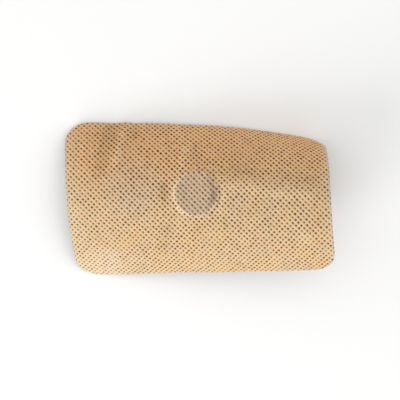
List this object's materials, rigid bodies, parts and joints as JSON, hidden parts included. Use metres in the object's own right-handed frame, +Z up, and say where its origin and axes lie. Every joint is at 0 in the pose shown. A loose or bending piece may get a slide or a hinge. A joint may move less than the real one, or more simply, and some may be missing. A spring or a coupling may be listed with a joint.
{
  "type": "transdermal patch",
  "caption": "Beige perforated adhesive skin patch, a rounded rectangle with a flat disc under its middle, kept in the curve it was worn in on a limb.",
  "frame": {"origin": "the middle of the outer box at its base, on the surface that the patch stands on", "axes": "+X along the patch's length, towards the end where the limb is narrower; +Z up, with the fabric face up as the curved patch comes to rest on three of its corners"},
  "size_m": [0.13, 0.0858, 0.0356],
  "materials": {
    "backing_fabric": "matte elastic fabric with a staggered pattern of small holes",
    "adhesive": "tacky brown adhesive, slightly glossy",
    "disc": "matte grey"
  },
  "bodies": {
    "root": {"backing_sheet": "backing_fabric", "adhesive_layer": "adhesive", "center_disc": "disc"}
  },
  "joints": []
}
